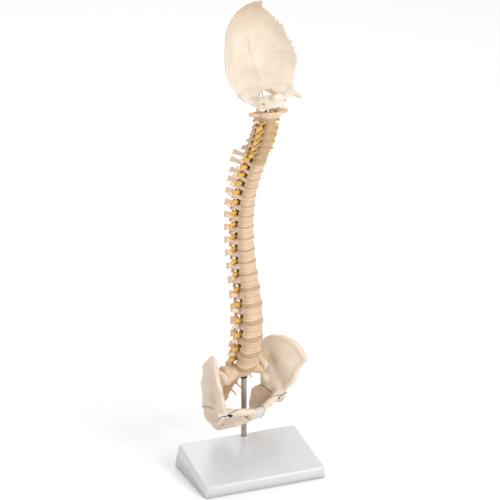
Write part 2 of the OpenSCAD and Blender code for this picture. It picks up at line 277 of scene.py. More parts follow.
# Sizes of each level, as in part.scad: level 0 is L5 and level 22 is C2
TABLES = {
    "disc_t": ((0, 7), (2, 7.4), (4, 6.4), (6, 4.6), (9, 3.2), (13, 2.6), (22, 2.8), (23, 5.6)),
    "body_w": ((0, 33), (4, 29.5), (5, 28), (9, 23.5), (13, 20.5), (16, 22), (18, 21), (22, 18)),
    "body_d": ((0, 22), (4, 20.5), (9, 19), (13, 15.5), (16, 13.5), (22, 12)),
    "canal_w": ((0, 18), (9, 13.5), (16, 17), (22, 18)),
    "canal_d": ((0, 13), (9, 12), (16, 12), (22, 13)),
    "process_l": ((0, 28), (4, 26), (5, 20), (9, 21.5), (14, 24), (17, 24), (18, 19), (22, 18)),
    "process_p": ((0, 13), (4, 13), (6, 17), (14, 17), (17, 11), (18, 5), (22, 5)),
    "spine_p": ((0, 40), (2, 45), (4, 45), (9, 43), (15, 45), (17, 42), (18, 32), (21, 27), (22, 30)),
    "spine_drop": ((0, 3), (5, 4), (9, 6), (13, 9), (16, 13), (17, 9), (18, 5), (20, 3), (22, 2.6)),
}
SACRAL_TILT = math.radians(36)
S1_DROP, S1_TALL = 3.5, 9  # how far the S1 body's face is under the lowest joint, and its height


def size(table, n):
    return float(np.interp(n, *zip(*TABLES[table])))


def level(n):
    """The frame of a vertebra, its height, and all its sizes."""
    along = UNDER[n + 1] - UNDER[n]
    pitch = float(np.linalg.norm(along))
    z = along / pitch
    h = pitch - (size("disc_t", n) + size("disc_t", n + 1)) / 2
    centre = UNDER[n] + z * (size("disc_t", n) + h) / 2
    sizes = {key: size(key, n) for key in TABLES}
    sizes["canal_y"] = (sizes["body_d"] + sizes["canal_d"]) / 2
    return Place(centre, LEFT, np.cross(z, LEFT), z), h, sizes


SKELETON = Place(np.array(JOINTS["swivel"]["pos_m"]) / MM * [1, 1, 0], LEFT, BACK, UP)
HEAD = Place(UNDER[TOP + 1], HEAD_LEFT, HEAD_BACK, UP)
dens_axis = np.array(JOINTS["head_turn"]["axis"], float)
NECK_TURN = math.radians(14)  # how far the atlas is turned on C2 at rest
neck_y = np.cross(dens_axis, LEFT)
NECK = Place(UNDER[TOP + 1], math.cos(NECK_TURN) * LEFT - math.sin(NECK_TURN) * neck_y,
             math.sin(NECK_TURN) * LEFT + math.cos(NECK_TURN) * neck_y, dens_axis)
S1 = Place(UNDER[0], LEFT, math.cos(SACRAL_TILT) * BACK + math.sin(SACRAL_TILT) * UP,
           math.cos(SACRAL_TILT) * UP - math.sin(SACRAL_TILT) * BACK)
S1_BACK, S1_UP = float((UNDER[0] - SKELETON.origin) @ BACK), float(UNDER[0][2])


# ---------------------------------------------------------------- distance fields
def blend_min(a, b, k):
    h = np.clip(0.5 + 0.5 * (b - a) / k, 0, 1)
    return b + (a - b) * h - k * h * (1 - h)


def blend_max(a, b, k):
    return -blend_min(-a, -b, k)


def limb(p, a, b, ra, rb=None):
    """Distance to a rounded limb from a to b, with one radius or one for each axis at either end."""
    rb = ra if rb is None else rb
    d = [b[i] - a[i] for i in range(3)]
    long = sum(v * v for v in d) or 1.0
    t = np.clip(sum((p[i] - a[i]) * d[i] for i in range(3)) / long, 0, 1)
    q = [p[i] - a[i] - d[i] * t for i in range(3)]
    if np.isscalar(ra) and np.isscalar(rb):
        return np.sqrt(q[0] ** 2 + q[1] ** 2 + q[2] ** 2) - (ra + (rb - ra) * t)
    ra, rb = [(r,) * 3 if np.isscalar(r) else r for r in (ra, rb)]
    r = [ra[i] + (rb[i] - ra[i]) * t for i in range(3)]
    k0 = np.sqrt(sum((q[i] / r[i]) ** 2 for i in range(3)))
    k1 = np.sqrt(sum((q[i] / r[i] ** 2) ** 2 for i in range(3))) + 1e-6
    return k0 * (k0 - 1) / k1


def path(p, points, radii, k=1.5):
    """A chain of limbs through points."""
    out = None
    for i in range(len(points) - 1):
        d = limb(p, points[i], points[i + 1], radii[i], radii[i + 1])
        out = d if out is None else blend_min(out, d, k)
    return out


def grow(f, p, *parts):
    """The field with chains of limbs blended on, each as points, radii, blend and the blend within it."""
    for points, radii, k, *inner in parts:
        f = blend_min(f, path(p, points, radii, *inner), k)
    return f


def sheet(p, a, b, c, r):
    """Distance to a triangle of half thickness r."""
    a, b, c = (np.array(v, float) for v in (a, b, c))
    n = np.cross(b - a, c - a)
    n /= np.linalg.norm(n)
    q = np.stack(p, -1)
    height = (q - a) @ n
    inside = np.ones(len(q), bool)
    far = np.full(len(q), 1e9)
    for s, e in ((a, b), (b, c), (c, a)):
        edge = e - s
        inside &= (q - s) @ np.cross(n, edge) >= 0
        t = np.clip((q - s) @ edge / (edge @ edge), 0, 1)
        far = np.minimum(far, ((q - s - t[:, None] * edge) ** 2).sum(-1))
    return np.where(inside, np.abs(height), np.sqrt(far)) - r


def blade(p, a, b, half_a, half_b, flare, r):
    """A flat process in the middle plane from a to b, as (y, z), with its half (thickness, height) at each."""
    t = np.clip((p[1] - a[0]) / (b[0] - a[0]), 0, 1)
    swell = flare * np.clip(t * 4 - 3, 0, 1)
    thick = half_a[0] + (half_b[0] - half_a[0]) * t + swell * 0.6
    tall = half_a[1] + (half_b[1] - half_a[1]) * t + swell
    q = [np.abs(p[0]) - thick + r, np.abs(p[2] - a[1] - (b[1] - a[1]) * t) - tall + r,
         np.abs(p[1] - (a[0] + b[0]) / 2) - (b[0] - a[0]) / 2 + r]
    outer = np.sqrt(sum(np.maximum(v, 0) ** 2 for v in q))
    return outer + np.minimum(np.maximum(np.maximum(q[0], q[1]), q[2]), 0) - r


BODY_POWER = 2.5  # how square the outline of a vertebral body is
BODY_SHIFT = 0.4  # how far a body is in front of its level's axis
BODY_SWELL = 1.08, 1.05  # width and depth of a cast body over the plain drum, below the neck
BITE_R, BITE_SHARE = 13.0, 0.09  # the hollow at the back of a body: radius, and depth over the body's depth
GROWTH_AT, GROWTH_WIDE, RIPPLES = 0.68, 0.07, 24  # growth lines, along half the height, and the ripples on it


def swollen(w, d, n):
    """The cast bodies are a little fuller than the plain drums that carry the joints."""
    return (w * BODY_SWELL[0], d * BODY_SWELL[1]) if n <= C7 else (w, d)


def bite_back(d):
    """How far back the hollow's own axis is."""
    return d / 2 + BITE_R - BITE_SHARE * d


def growth_line(u):
    return np.exp(-(((u - GROWTH_AT) / GROWTH_WIDE) ** 2))


def vertebral_body(p, w, d, h, waist=0.13):
    """A kidney-shaped drum with a waist, a growth line near each end and rounded rims."""
    x, y, z = p
    u = np.clip(np.abs(z) / (h / 2), 0, 1)
    s = 1 - waist * (1 - u ** 3) - 0.034 * growth_line(u) - 0.012 * np.cos(u * RIPPLES)
    rx, ry = w / 2 * s, d / 2 * (1 - (1 - s) * 0.85)
    q = ((np.abs(x) / rx) ** BODY_POWER + (np.abs(y) / ry) ** BODY_POWER) ** (1 / BODY_POWER) + 1e-6
    side = np.sqrt(x * x + y * y) * (1 - 1 / q)
    side = blend_max(side, BITE_R - np.hypot(x, y - bite_back(d)), 1.0)
    return blend_max(side, np.abs(z) - h / 2, 1.1)


def body_outline(w, d, count):
    """Points round the end of a vertebral body, in its own plane."""
    a = np.arange(count) * 2 * np.pi / count
    c, s = np.cos(a), np.sin(a)
    x = w / 2 * np.sign(c) * np.abs(c) ** (2 / BODY_POWER)
    y = d / 2 * np.sign(s) * np.abs(s) ** (2 / BODY_POWER)
    reach = np.sqrt(np.maximum(BITE_R ** 2 - x ** 2, 0))
    return x, np.where(np.abs(x) < BITE_R, np.minimum(y, bite_back(d) - reach), y)


SPINE_TRIM = {C7: -6.0, C7 - 1: 5.0, C7 - 2: 4.0}  # the cast's spines at the foot of the neck


def vertebra_field(n):
    _, h, s = level(n)
    w, d, cw, cd, cy = s["body_w"], s["body_d"], s["canal_w"], s["canal_d"], s["canal_y"]
    pl, pp, sp, drop = s["process_l"], s["process_p"], s["spine_p"] + SPINE_TRIM.get(n, 0), s["spine_drop"]
    lumbar, cervical = n < LUMBAR, n > C7
    fx, fy = cw / 2 + (2 if lumbar else 0), cy + cd * 0.36
    up = h / 2 + size("disc_t", n + 1) / 2 + (0.2 if cervical else min(2.5 if n else 1.6, 0.15 * h))
    down = h / 2 + size("disc_t", n) / 2 + (-0.5 if n > C7 + 1 else min(1.2, 0.12 * h))
    back = cy + cd / 2

    def field(p):
        q = (np.abs(p[0]), p[1], p[2])
        f = vertebral_body((p[0], p[1] + BODY_SHIFT, p[2]), *swollen(w, d, n), h)
        sag = 0.0 if cervical else 0.06 * h
        arch = limb(q, (cw / 2 + 0.9, d / 2 - 3, 0.15 * h - sag), (cw / 2 + 1.6, cy + 1, 0.12 * h - sag),
                    (2.6 + 0.6 * lumbar, 3, 0.23 * h + sag), (2.3, 3, 0.25 * h + 1.3 * sag))
        if n > C7 - 4 or n < 2:
            low, tall = 0.0, 0.0
        else:  # taller laminae, where they nearly close the gap to the next arch
            low, tall = (0.03 * h, 0.06 * h) if lumbar else (0.06 * h, 0.09 * h)
        lamina = limb(q, (cw / 2 + 1.0, cy + cd * 0.25, 0.03 * h - low), (1.2, back + 1.6, -0.03 * h - low),
                      (2.6, 2.5, 0.32 * h + tall), (2.5, 2.3, 0.33 * h + tall))
        arch = blend_min(arch, lamina, 1.6)
        # spine
        if cervical and n < TOP:
            spine = path(q, [(0.5, back + 1, 0), (2.4, sp - 1.8, -drop)],
                         [(2.2, 2, 0.22 * h), (1.6, 1.8, 0.2 * h)])
        else:
            spine = blade(p, (back + 0.5, -0.02 * h), (sp, -drop), (2.0, 0.24 * h),
                          (1.8, 0.2 * h + 1.0), 1.3 + 0.5 * lumbar, 1.0)
        arch = blend_min(arch, spine, 1.8)
        # side processes
        if lumbar:
            side = path(q, [(cw / 2 + 2, d / 2 + 4, 0.1 * h), (pl - 9, pp - 0.5, 0.2 * h),
                            (pl - 2.2, pp, 0.28 * h)],
                        [(2.6, 2.4, 0.2 * h), (2.4, 1.8, 0.16 * h), (2.2, 1.7, 0.20 * h)])
            side = grow(side, q, (((fx + 2.4, fy + 0.4, 0.36 * h), (fx + 2.4, fy + 1, 0.30 * h)),
                                  (2.3, 2.3), 1.5))
        elif cervical:
            front = path(q, [(w / 2 - 1.2, 0.5, 0.02 * h), (pl - 1.8, 0.4, -0.02 * h)], [1.5, (1.9, 1.7, 2.0)])
            side = grow(front, q,
                        (((cw / 2 + 1, d / 2 + 3, 0.05 * h), (pl - 1.6, 5.4, -0.06 * h)),
                         (1.7, (1.9, 1.9, 2.2)), 0.8),
                        (((pl - 2.2, 0.8, -0.1 * h), (pl - 2.2, 5, -0.12 * h)), ((1.4, 1.3, 1.2),) * 2, 0.8))
        else:
            side = path(q, [(cw / 2 + 2, d / 2 + 5, 0.12 * h), (pl - 3, pp, 0.32 * h)],
                        [(2.5, 2.6, 0.2 * h), (2.3, 2.4, 2.6)])
            side = grow(side, q, (((pl - 3, pp, 0.33 * h), (pl - 2.8, pp, 0.35 * h)),
                                  ((2.7, 2.7, 3.4),) * 2, 1.0))
            rib_seat = limb(q, (pl - 1.6, pp - 4.2, 0.33 * h), (pl - 1.6, pp - 4.1, 0.33 * h), 2.6)
            side = blend_max(side, -rib_seat, 0.6)
        arch = blend_min(arch, side, 1.6)
        # facet joints
        if n < TOP:
            arch = grow(arch, q, (((fx, fy - 0.2, 0.12 * h), (fx + 0.2, fy, up - 1.9)),
                                  ((2.5, 1.7, 2.4), (2.6, 1.35, 1.9)), 1.0))
        low_end = 1.9 - (h / 2 + 1.5 if n == 0 else down)
        arch = grow(arch, q, (((fx - 0.3, fy + 2.6, 0), (fx, fy + 4.9, low_end)),
                              ((2.5, 1.8, 2.4), (2.6, 1.35, 1.9)), 1.0))
        f = blend_min(f, arch, 1.6)
        canal = np.hypot(np.maximum(q[0] - (cw - cd) / 2, 0), p[1] - cy) - cd / 2
        f = blend_max(f, -canal, 0.8)
        if not cervical and not lumbar:  # seats of the rib heads
            seat_x = w * 0.40 + 1.6
            for end in (-1, 1):
                seat = limb(q, (seat_x, d / 2 - 0.5, end * h / 2), (seat_x, d / 2, end * h / 2), 2.7)
                f = blend_max(f, -seat, 0.7)
        if cervical and n < TOP:  # raised side lips of the upper face
            lip_x = w / 2 - 1.3
            f = grow(f, q, (((lip_x, -d * 0.15, h / 2 - 1.0), (lip_x, d * 0.25, h / 2 - 0.8)),
                            ((1.1, 1.4, 1.1),) * 2, 0.8))
        if n == TOP:  # dens and shoulders of C2
            f = grow(f, p, (((0, 0, h / 2 - 3), (0, 0.2, h / 2 + 4), (0, 0.4, h / 2 + 8.8)),
                            (3.6, 3.0, 3.5), 1.4, 1.0))
            f = grow(f, q, (((9.2, 3.0, h / 2 - 1.2), (10.2, 3.2, h / 2 - 1.9)), ((4.6, 5.2, 1.9),) * 2, 1.6))
        return f
    return field


ATLAS_CUP = (14.2, 1.0, 10.0), (13.2, 8.0, 10.0), (4.6, 6.0, 5.4)  # seat of the occiput's condyle
DENS_HOLE, DENS_HOLE_BACK = 4.6, 0.3
ATLAS_FLOOR = -2.4


def atlas_field(p):
    q = (np.abs(p[0]), p[1], p[2])
    ring = path(q, [(13.5, -1.5, 2.4), (7.5, -7.0, 3.0), (0, -8.9, 3.2)],
                [(3.0, 3.0, 4.6), (2.6, 2.0, 4.6), (2.4, 1.8, 4.7)])
    ring = grow(ring, p, (((0, -9.8, 1.2), (0, -9.8, 2.4)), (2.0, 2.0), 1.0))
    wing = (2.2, 2.2, 2.8), (2.6, 3.0, 2.8)
    f = grow(ring, q,
             (((12.6, 0.5, 1.5), (13.4, 8.0, 1.5)), ((4.3, 4.4, 4.4), (4.4, 4.4, 4.2)), 1.6),
             (((13.5, 10, 1.2), (11.0, 18.5, 1.2), (5.0, 24.2, 1.2), (0, 25.2, 1.2)),
              ((1.9, 2.2, 2.0), (1.7, 1.8, 2.2), (1.8, 1.6, 2.4), (2.0, 1.7, 2.8)), 1.6),
             (((16.5, 2.5, 0.8), (27.5, 6.5, 0.8)), wing, 1.2),
             (((16.0, 9.5, 0.8), (27.5, 7.5, 0.8)), wing, 1.2))
    f = blend_max(f, -limb(q, *ATLAS_CUP), 0.6)
    f = blend_max(f, -(np.hypot(p[0], p[1] - DENS_HOLE_BACK) - DENS_HOLE), 0.5)
    return blend_max(f, ATLAS_FLOOR - p[2], 0.6)


SACRAL_BLOCKS = (  # (back, height, half width, half depth, half height) down the sacrum and coccyx
    (14.0, 138.5, 27.5, 9.5, 9.0), (24.5, 127.5, 23.5, 8.6, 8.0), (32.5, 113.0, 16.5, 7.2, 8.0),
    (37.2, 99.5, 10.5, 5.0, 6.5), (39.2, 88.5, 5.0, 2.6, 4.5), (39.2, 82.0, 2.6, 1.6, 2.5))
SACRAL_HOLES = ((13, 6, 131), (12, 17, 122), (10, 26, 108), (7, 33, 96))


SACRAL_LINES = (11.0, 128.0), (20.5, 117.5), (28.5, 104.5)  # (back, height) of lines between fused blocks
CREST_PITCH = 13.5
ROD_BORE, BUSH_BORE = (4.15, 146.5), (6.1, 140.2)  # radius, and height of the upper end


def bore(p, r, top):
    return np.maximum(np.hypot(p[0], p[1]) - r, p[2] - top)


def sacrum_field(p):
    q = (np.abs(p[0]), p[1], p[2])
    dy, dz = p[1] - S1_BACK, p[2] - S1_UP
    c, s = math.cos(SACRAL_TILT), math.sin(SACRAL_TILT)
    own = (p[0], dy * c + dz * s + BODY_SHIFT, dz * c - dy * s + S1_DROP + S1_TALL / 2)
    f = vertebral_body(own, *swollen(size("body_w", 0), size("body_d", 0), 0), S1_TALL, 0.05)
    ala = path(q, [(11, -1, 143.5), (21, 4.5, 144), (29.5, 9, 144)],
               [(6, 7, 6), (5.5, 8.5, 6.0), (4.5, 11, 8.5)], 3)
    ala = grow(ala, q, (((28, 10, 140), (25, 15, 130)), ((5, 9, 8), (4, 6, 6)), 4),
               (((21, 2, 138), (32, 0, 133)), ((6, 8, 7.5), (5.5, 6, 6.5)), 4))
    f = blend_min(f, ala, 4)
    f = grow(f, q,
             ([(0, *b[:2]) for b in SACRAL_BLOCKS], [b[2:] for b in SACRAL_BLOCKS], 4, 2),
              (((13, 13, 149), (7, 22, 151), (0, 26.5, 150)), ((3, 2.8, 4), (3, 2.4, 4.5), (2.4, 2.2, 4.5)), 2),
             (((13.5, 9, 148), (13.0, 13.5, 157.5)), ((3.4, 3.0, 3.5), (3.0, 1.8, 2.4)), 1.6))
    crest = path(q, [(0, 28, 149), (0, 36, 138), (0, 41.5, 124), (0, 43.5, 110)],
                 [(1.8, 2.6, 4.5), (1.6, 2.4, 5), (1.6, 2.2, 5), (1.4, 1.6, 4)])
    f = blend_min(f, crest + 0.8 * np.cos(p[2] * 2 * np.pi / CREST_PITCH), 2)
    canal = path(q, [(0, 8, 163), (0, 21, 147), (0, 31, 128)], [(8, 5, 5), (7, 4.5, 4), (3, 2, 3)])
    f = blend_max(f, -canal, 1.2)
    for x, y, z in SACRAL_HOLES:
        hole = path(q, [(x + 1.5, y - 9, z - 4), (x, y + 3, z), (x - 1, y + 24, z + 7)], [3.2, 2.0, 1.6])
        f = blend_max(f, -hole, 1.4)
    for y, z in SACRAL_LINES:
        f = blend_max(f, -limb(q, (0, y - 1.0, z - 3.0), (9, y - 0.4, z - 3.0), 1.0), 1.2)
    for r, top in (ROD_BORE, BUSH_BORE):
        f = blend_max(f, -bore(p, r, top), 0.3)
    return f


def smooth_line(points, steps):
    """A Catmull-Rom line through points."""
    pts = np.array([points[0], *points, points[-1]], float)
    out = []
    for i in range(1, len(pts) - 2):
        for t in np.arange(steps) / steps:
            a, b, c, d = pts[i - 1:i + 3]
            out.append(0.5 * (2 * b + (c - a) * t + (2 * a - 5 * b + 4 * c - d) * t ** 2
                              + (3 * b - a - 3 * c + d) * t ** 3))
    return np.array(out + [pts[-2]])


class Panel:
    """A flat grid with the signed distance to an outline, and a height drawn smoothly through given points."""
    CELL, MARGIN, SPAN, STIFF = 0.8, 12, 100, 0.002

    def __init__(self, outline, heights=None):
        outline = np.asarray(outline, float)
        self.low = outline.min(0) - self.MARGIN
        self.shape = tuple(np.ceil((outline.max(0) + self.MARGIN - self.low) / self.CELL).astype(int) + 1)
        lines = [self.low[i] + np.arange(self.shape[i]) * self.CELL for i in (0, 1)]
        u, v = (g.ravel() for g in np.meshgrid(*lines, indexing="ij"))
        far, inside = np.full(len(u), 1e9), np.zeros(len(u), bool)
        for a, b in zip(outline, np.roll(outline, -1, 0)):
            e = b - a
            t = np.clip(((u - a[0]) * e[0] + (v - a[1]) * e[1]) / (e @ e + 1e-9), 0, 1)
            far = np.minimum(far, (u - a[0] - t * e[0]) ** 2 + (v - a[1] - t * e[1]) ** 2)
            if abs(e[1]) > 1e-9:
                inside ^= ((a[1] > v) != (b[1] > v)) & (u < a[0] + (v - a[1]) / e[1] * e[0])
        self.edge = np.where(inside, -np.sqrt(far), np.sqrt(far)).reshape(self.shape)
        if heights is not None:
            h = np.array(heights, float)
            at = h[:, :2] / self.SPAN

            def kernel(d2):
                return d2 * np.log(d2 + 1e-9)

            k = kernel(((at[:, None] - at) ** 2).sum(-1)) + np.eye(len(h)) * self.STIFF
            side = np.column_stack([np.ones(len(h)), at])
            system = np.block([[k, side], [side.T, np.zeros((3, 3))]])
            weights = np.linalg.solve(system, np.append(h[:, 2], [0, 0, 0]))
            here = np.stack([u, v], -1) / self.SPAN
            basis = np.column_stack([kernel(((here[:, None] - at) ** 2).sum(-1)), np.ones(len(u)), here])
            self.height = (basis @ weights).reshape(self.shape)
            slope = np.gradient(self.height, self.CELL)
            self.steep = np.sqrt(1 + slope[0] ** 2 + slope[1] ** 2)

    def look(self, grid, u, v):
        a = np.clip((u - self.low[0]) / self.CELL, 0, self.shape[0] - 1.001)
        b = np.clip((v - self.low[1]) / self.CELL, 0, self.shape[1] - 1.001)
        i, j = a.astype(int), b.astype(int)
        s, t = a - i, b - j
        return (grid[i, j] * (1 - s) * (1 - t) + grid[i + 1, j] * s * (1 - t) + grid[i, j + 1] * (1 - s) * t
                + grid[i + 1, j + 1] * s * t)


WING = Panel(smooth_line((  # (back, height) round the wing of the ilium, and its (back, height, left)
    (42, 144), (35.5, 151), (27, 158.5), (17, 168), (6, 177.5), (-5, 179.5), (-13, 178.5), (-21, 174.5),
    (-29, 168), (-37, 158.5), (-43, 149), (-42.5, 142), (-38, 135), (-35.5, 127), (-35.5, 119), (-33, 112.5),
    (-24, 104), (-10, 97), (6, 98), (13, 108), (13.5, 117), (17, 126), (25, 131), (34, 131.5), (40, 133.5),
    (44, 138.5)), 3), (
    (46, 150, 36), (42, 138, 36), (30, 163, 49), (20, 150, 52), (6, 177, 56.5), (-13, 177, 67), (-27, 167, 77),
    (-42, 146, 83), (-36, 128, 74), (-31, 114, 68), (-10, 108, 60), (14, 118, 53), (17, 139, 59),
    (-14, 142, 60.5), (-12, 160, 62.5), (-26, 145, 69), (6, 124, 58.5), (28, 138, 50), (4, 150, 57)))
SOCKET, SOCKET_R = (75, -4, 91), 17.0
SOCKET_FACE = (70.0, -4, 93), (0.90, -0.20, -0.38)  # a point of the socket's flat rim, and the way it looks
MIDDLE_GAP = 9.4  # from the middle plane to either pubis
SACRUM_GAP, NEAR_SACRUM = 0.4, 42


def cord(points, r):
    """A smooth line through points, and one radius all along it."""
    line = smooth_line(points, 3)
    return line, [r] * len(line)


HIP_PARTS = (  # points, radii, blend, and the blend within a chain
    # front spines and the bulk of the bone
    (((81.5, -40, 146), (82.5, -42, 147.5)), (3.0, 3.0), 2.5),
    (((66.5, -30, 114), (62, -24, 106)), ((4.0, 4.4, 4.6),) * 2, 4.0),
    (((53, 16, 146), (57, 14, 128), (64, 4, 104)), ((4.5, 8, 10), (6.5, 10, 12), (9, 11, 10)), 9.0, 4),
    # thick part at the joint with the sacrum, and the brim down from it
    (((42, 22, 143), (40, 8, 139)), ((7.5, 13, 10), (7.0, 8, 9)), 9.0),
    (((39, 0, 138), (36.5, -1, 134)), ((6, 8, 8), (4.5, 5, 5.5)), 6.0),
    (*cord(((35, 4, 137), (38.5, 5, 129), (46, 7, 114), (50, 0, 102)), 3.2), 8.0),
    # body of the bone round the hip socket
    (((55, -6, 102), (55, 0, 84)), ((7.5, 14, 9), (8, 13, 9)), 6.0),
    (((62, -5, 94), (62, -4, 92)), ((11.0, 18.0, 18.0),) * 2, 4.0),
    # ischium, with its sharp rear border
    (((54, 0, 86), (45, 11, 72)), ((8, 13.5, 9), (7, 12, 8)), 5.0),
    (((45, 11, 72), (36.5, 18, 60)), ((7, 12, 8), (6.4, 9.5, 6.5)), 4.0),
    (*cord(((47, 9, 99), (43, 15, 97), (38.5, 20.5, 92), (37.5, 22.5, 82), (36, 24.5, 69)), 2.8), 6.0),
    (((50, 4, 95), (42, 15, 83)), ((5, 8, 7), (5, 9, 11)), 5.0),
    # lower ramus of the pubis
    (((36, 14, 59), (23, -8, 68), (14, -19, 73), (8.6, -27, 79)),
     ((5.0, 7.0, 6.0), (3.8, 5.0, 6.4), (3.4, 4.4, 5.6), (3.0, 4.4, 4.8)), 3.5, 2))
PUBIS_PARTS = (
    (((54, -14, 94), (44, -20, 93), (26, -27, 91), (8.4, -31, 88)),
     ((6.0, 6.5, 8), (5.0, 5.0, 6.6), (4.2, 4.4, 5.6), (3.2, 4.4, 4.6)), 5.0, 2),
    (((9.0, -28.5, 80), (9.0, -30.5, 86.5)), ((3.2, 4.6, 4.2),) * 2, 2.0),
    (((14, -27.5, 84), (10, -28.5, 82)), ((3, 3.2, 6),) * 2, 3.0))


def hip_field(p):
    """The whole left hip bone, in the skeleton's frame."""
    edge = WING.look(WING.edge, p[1], p[2])
    off = np.abs(p[0] - WING.look(WING.height, p[1], p[2])) / WING.look(WING.steep, p[1], p[2])
    rim = np.clip(1 + edge / 7, 0, 1)
    low = np.clip((136 - p[2]) / 40, 0, 1)
    thick = 1.9 + 1.5 * rim * rim * (3 - 2 * rim) + 3.4 * low * low
    f = grow(blend_max(off - thick, edge, 2.2), p, *HIP_PARTS)
    for c in ((48, -6, 84), (16, -20, 76)):  # web beside the obturator hole
        f = blend_min(f, sheet(p, c, (30, -19, 84), (34, 4, 66), 2.4), 3.0)
    f = grow(f, p, *PUBIS_PARTS)
    f = blend_max(f, -limb(p, SOCKET, SOCKET, SOCKET_R), 1.4)
    at, way = SOCKET_FACE
    f = blend_max(f, (p[0] - at[0]) * way[0] + (p[1] - at[1]) * way[1] + (p[2] - at[2]) * way[2], 1.6)
    f = blend_max(f, MIDDLE_GAP - p[0], 0.6)
    near = p[0] < NEAR_SACRUM
    if near.any():
        sacrum = np.full(len(p[0]), 50.0)
        sacrum[near] = sacrum_field(tuple(v[near] for v in p))
        f = blend_max(f, SACRUM_GAP - sacrum, SACRUM_GAP)
    return f


def seam_height(p):
    """Height above the growth plate that parts the ilium from the lower hip bone."""
    rise = p[2] - 94 - 0.45 * (p[1] + 9) - 1.7 * np.maximum(-19 - p[1], 0)
    return (rise + 0.4 * np.sin(p[0] * 0.5)) * 0.8


SEAM = 0.42  # half the seam's thickness
PIN, PIN_R = ((46.0, -30.0, 90.0), (48.5, -17.0, 92.0)), 2.4  # the dark spot beside the seam


def ilium_field(p):
    return blend_max(blend_max(hip_field(p), SEAM - seam_height(p), 0.5), PIN_R - limb(p, *PIN, 0.0), 0.3)


def ischiopubis_field(p):
    return blend_max(blend_max(hip_field(p), seam_height(p) + SEAM, 0.5), PIN_R - limb(p, *PIN, 0.0), 0.3)


def seam_field(p):
    plate = np.maximum(hip_field(p) + 0.3, np.abs(seam_height(p)) - SEAM - 0.1)
    return np.minimum(plate, np.maximum(limb(p, *PIN, 2.35), hip_field(p) - 0.5))


def symphysis_field(p):
    pad = limb(p, (0, -28.5, 79.5), (0, -30.5, 86.5), (15.0, 5.1, 4.8))
    return blend_max(pad + 0.2 * np.cos(p[2] * 1.6), np.abs(p[0]) - 9.2, 1.0)


# ---------------------------------------------------------------- the occipital bone
OCCIPUT_ROWS = np.array((  # (height above the neck, half width, depth)
    (20, 36, 10), (26, 40, 17), (32, 45, 24), (40, 49, 33), (48, 52.5, 43), (56, 55, 51), (64, 57, 57),
    (72, 56.5, 61), (84, 53.5, 64), (96, 50, 66), (108, 45.5, 67), (118, 38.5, 66), (128, 30, 64),
    (137, 20.5, 60.5), (145, 12, 53), (150, 6, 45.5), (153, 0, 40.5)), float)
OCCIPUT_HALF = 64.0  # half width of the ellipse that the shell bends along
TOOTH_STEP = 0.6
rng = np.random.default_rng(7)
LEAN_AT = np.arange(8.0, 160.0, 2.0)
LEAN = np.gradient(np.interp(LEAN_AT, OCCIPUT_ROWS[:, 0], OCCIPUT_ROWS[:, 2]), LEAN_AT)


def occiput_depth(z):
    return np.interp(z, OCCIPUT_ROWS[:, 0], OCCIPUT_ROWS[:, 2])


def occiput_outline():
    """The toothed outline of the bone, as (length along the curve, height), laid flat."""
    rows = smooth_line([(r[1], r[0]) for r in OCCIPUT_ROWS[1:]], 14)
    sides = []
    for side in (1, -1):
        line = np.array([(OCCIPUT_HALF * math.asin(min(x / OCCIPUT_HALF, 1)), z) for x, z in rows])
        step = np.linalg.norm(np.diff(line, axis=0, prepend=line[:1]), axis=1)
        run = np.cumsum(step)
        line = np.array([np.interp(np.arange(0, run[-1], TOOTH_STEP), run, line[:, i]) for i in (0, 1)]).T
        run = np.arange(len(line)) * TOOTH_STEP
        tangent = np.gradient(line, axis=0)
        tangent /= np.linalg.norm(tangent, axis=1)[:, None] + 1e-9
        normal = np.stack([tangent[:, 1], -tangent[:, 0]], -1)
        teeth, at = np.zeros(len(line)), 0.0
        while at < run[-1]:
            wide, tall = rng.uniform(4.5, 10.5), rng.uniform(1.6, 6.0)
            t = (run - at) / wide
            shape = np.clip(np.minimum(t / 0.65, (1 - t) / 0.35), 0, 1)
            teeth = np.where((t >= 0) & (t < 1), tall * shape, teeth)
            at += wide
        fade = np.clip((line[:, 1] - 58) / 12, 0, 1)
        line = line + normal * ((teeth - 2.2) * fade * (1 if side > 0 else 0.25))[:, None]
        line[:, 0] *= side
        sides.append(line if side > 0 else line[::-1])
    return np.concatenate(sides)


SQUAMA = Panel(occiput_outline())


